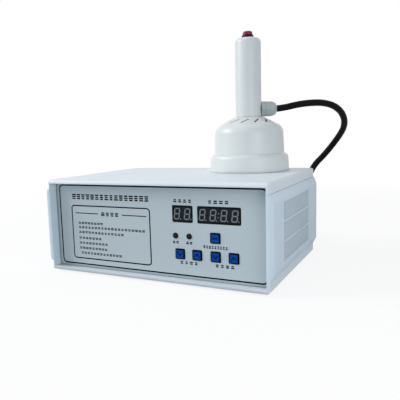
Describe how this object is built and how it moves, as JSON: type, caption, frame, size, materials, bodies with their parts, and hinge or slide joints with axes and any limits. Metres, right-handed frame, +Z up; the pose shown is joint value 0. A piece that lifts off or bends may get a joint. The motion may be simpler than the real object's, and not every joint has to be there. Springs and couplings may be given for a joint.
{
  "type": "induction cap sealer",
  "caption": "Hand-held induction cap sealer: boxy power case with a recessed keypad panel and displays, and a bell-shaped sealing head with tube handle standing on its lid, joined by a lead.",
  "frame": {"origin": "middle of the case on the plane of its four feet", "axes": "+X to the right of someone facing the control panel, +Y to the rear, +Z up along the handle"},
  "size_m": [0.328, 0.3205, 0.2957],
  "materials": {
    "cover_plastic": "fine satin moulding, pale blue-white",
    "side_plastic": "fine satin moulding, pale blue-white",
    "panel_sheet": "satin grey paint",
    "panel_film": "satin printed film, grey-blue with dark fields",
    "dark_rubber": "matt",
    "plated_steel": "zinc plated",
    "circuit_board": "green solder mask",
    "brass": "turned",
    "black_plastic": "satin black moulding",
    "display_black": "semi-gloss black face",
    "display_segment": "unlit milky segments",
    "lamp_lens": "unlit tinted lens",
    "key_blue": "satin blue caps",
    "heat_sink_metal": "bare extrusion",
    "package_epoxy": "black epoxy",
    "capacitor_sleeve": "shrunk blue sleeve",
    "capacitor_box": "potted box",
    "ferrite": "sintered dark grey",
    "copper_winding": "enamelled copper",
    "guard_wire": "bright plated wire",
    "rocker_red": "red rocker",
    "gland_nylon": "grey nylon",
    "head_plastic": "fine satin moulding, warm white",
    "former_board": "resin board",
    "button_red": "dark red cap",
    "lead_rubber": "smooth black jacket"
  },
  "bodies": {
    "case": {"top_cover": "cover_plastic", "bottom_cover": "cover_plastic", "left_side_panel": "side_plastic", "right_side_panel": "side_plastic", "front_panel": "panel_sheet", "panel_film": "panel_film", "rear_panel": "panel_sheet", "feet": "dark_rubber", "case_screws": "plated_steel", "display_board": "circuit_board", "board_spacers": "brass", "board_screws": "plated_steel", "time_display": "display_black", "count_display": "display_black", "display_segments": "display_segment", "indicator_lamps": "lamp_lens", "lamp_holders": "black_plastic", "key_switches": "black_plastic", "power_board": "circuit_board", "heat_sink": "heat_sink_metal", "power_transistors": "package_epoxy", "bridge_rectifier": "package_epoxy", "filter_capacitors": "capacitor_sleeve", "resonant_capacitors": "capacitor_box", "transformer_core": "ferrite", "transformer_winding": "copper_winding", "mains_choke": "copper_winding", "fan_frame": "black_plastic", "fan_guard": "guard_wire", "fan_screws": "plated_steel", "mains_inlet": "black_plastic", "inlet_pins": "brass", "power_switch_frame": "black_plastic", "rear_gland_body": "gland_nylon", "rear_gland_nut": "gland_nylon", "head_gland_body": "gland_nylon", "head_gland_nut": "gland_nylon", "gland_locknuts": "gland_nylon", "head_bell": "head_plastic", "head_handle": "head_plastic", "sealing_plate": "head_plastic", "coil_former": "former_board", "induction_coil": "copper_winding", "ferrite_bars": "ferrite", "plate_screws": "plated_steel", "trigger_bush": "black_plastic", "trigger_nut": "plated_steel", "trigger_spring": "plated_steel", "lead_rise": "lead_rubber", "lead_coil": "lead_rubber", "lead_tail": "lead_rubber", "coil_tie": "dark_rubber"},
    "trigger": {"trigger_button": "button_red"},
    "rocker": {"power_rocker": "rocker_red"},
    "fan": {"fan_rotor": "black_plastic"},
    "time_down_key_body": {"time_down_key": "key_blue"},
    "time_up_key_body": {"time_up_key": "key_blue"},
    "power_down_key_body": {"power_down_key": "key_blue"},
    "power_up_key_body": {"power_up_key": "key_blue"},
    "reset_key_body": {"reset_key": "key_blue"}
  },
  "joints": [
    {"name": "trigger_press", "type": "slide", "parent": "case", "child": "trigger", "axis": [0, 0, -1], "range_m": [0, 0.0025], "stiffness_N_per_m": 500, "springref_m": -0.002, "deforming": ["trigger_spring"]},
    {"name": "power_rock", "type": "hinge", "parent": "case", "child": "rocker", "pos_m": [-0.092, 0.0905, 0.084], "axis": [-1, 0, 0], "range_deg": [0, 20]},
    {"name": "fan_spin", "type": "hinge", "parent": "case", "child": "fan", "pos_m": [0.07, 0.0895, 0.0595], "axis": [0, 1, 0], "continuous": true},
    {"name": "time_down_press", "type": "slide", "parent": "case", "child": "time_down_key_body", "axis": [0, 1, 0], "range_m": [0, 0.0003], "stiffness_N_per_m": 4000, "springref_m": -0.0002},
    {"name": "time_up_press", "type": "slide", "parent": "case", "child": "time_up_key_body", "axis": [0, 1, 0], "range_m": [0, 0.0003], "stiffness_N_per_m": 4000, "springref_m": -0.0002},
    {"name": "power_down_press", "type": "slide", "parent": "case", "child": "power_down_key_body", "axis": [0, 1, 0], "range_m": [0, 0.0003], "stiffness_N_per_m": 4000, "springref_m": -0.0002},
    {"name": "power_up_press", "type": "slide", "parent": "case", "child": "power_up_key_body", "axis": [0, 1, 0], "range_m": [0, 0.0003], "stiffness_N_per_m": 4000, "springref_m": -0.0002},
    {"name": "reset_press", "type": "slide", "parent": "case", "child": "reset_key_body", "axis": [0, 1, 0], "range_m": [0, 0.0003], "stiffness_N_per_m": 4000, "springref_m": -0.0002}
  ]
}
